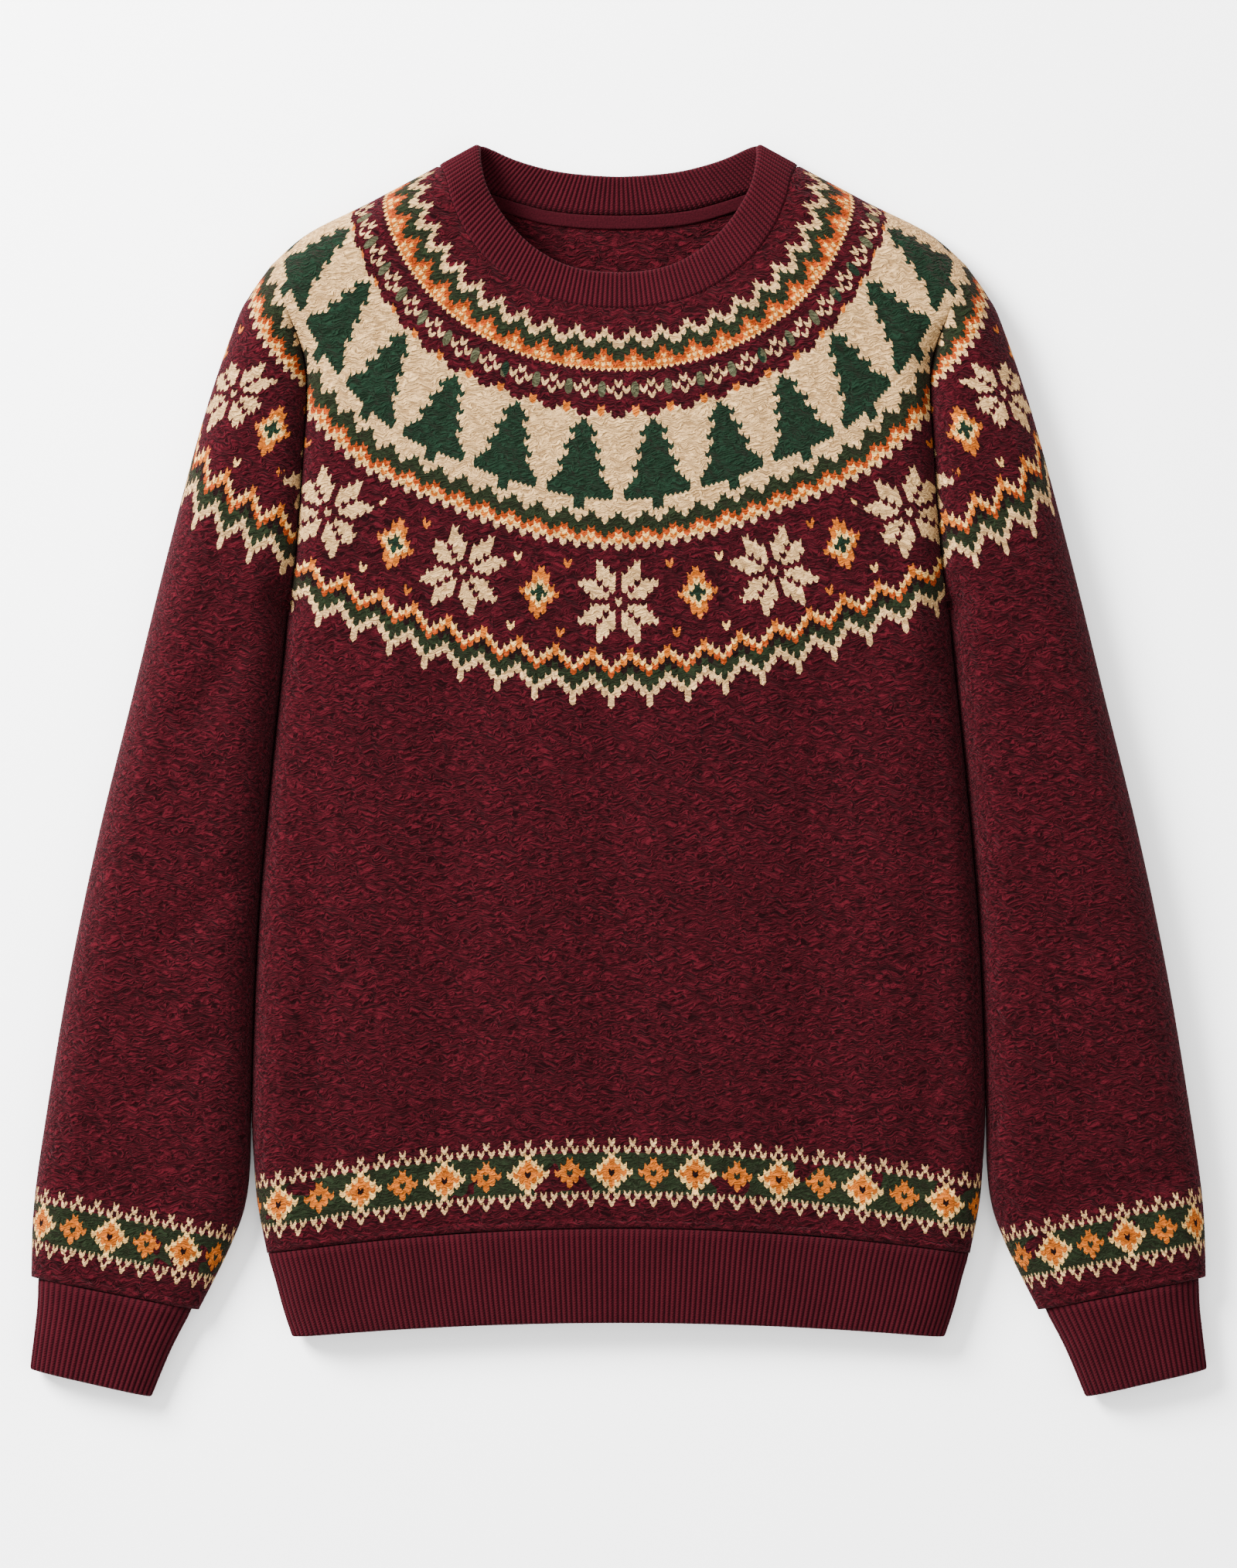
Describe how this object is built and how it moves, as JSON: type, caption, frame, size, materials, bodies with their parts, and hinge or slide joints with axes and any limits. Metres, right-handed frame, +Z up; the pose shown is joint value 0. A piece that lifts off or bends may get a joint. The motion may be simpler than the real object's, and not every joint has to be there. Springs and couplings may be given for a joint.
{
  "type": "christmas sweater",
  "caption": "Long-sleeved pullover with a round patterned yoke and ribbed collar, hem and cuffs, lying flat on its back.",
  "frame": {"origin": "centre of the garment's outline, on the surface it lies on", "axes": "+Z up from the surface through the front, +Y from the hem to the neck, +X to the wearer's left sleeve"},
  "size_m": [0.6562, 0.699, 0.0331],
  "materials": {
    "fleecy_knit": "fleecy looped knit with a patterned yoke and bands",
    "rib_knit": "fine ribbed knit",
    "neck_tape": "plain jersey tape",
    "sewing_thread": "matt sewing thread"
  },
  "bodies": {
    "root": {"front_panel": "fleecy_knit", "back_panel": "fleecy_knit", "sleeve_left": "fleecy_knit", "sleeve_right": "fleecy_knit", "collar": "rib_knit", "hem_band": "rib_knit", "cuff_left": "rib_knit", "cuff_right": "rib_knit", "neck_tape": "neck_tape"}
  },
  "joints": []
}
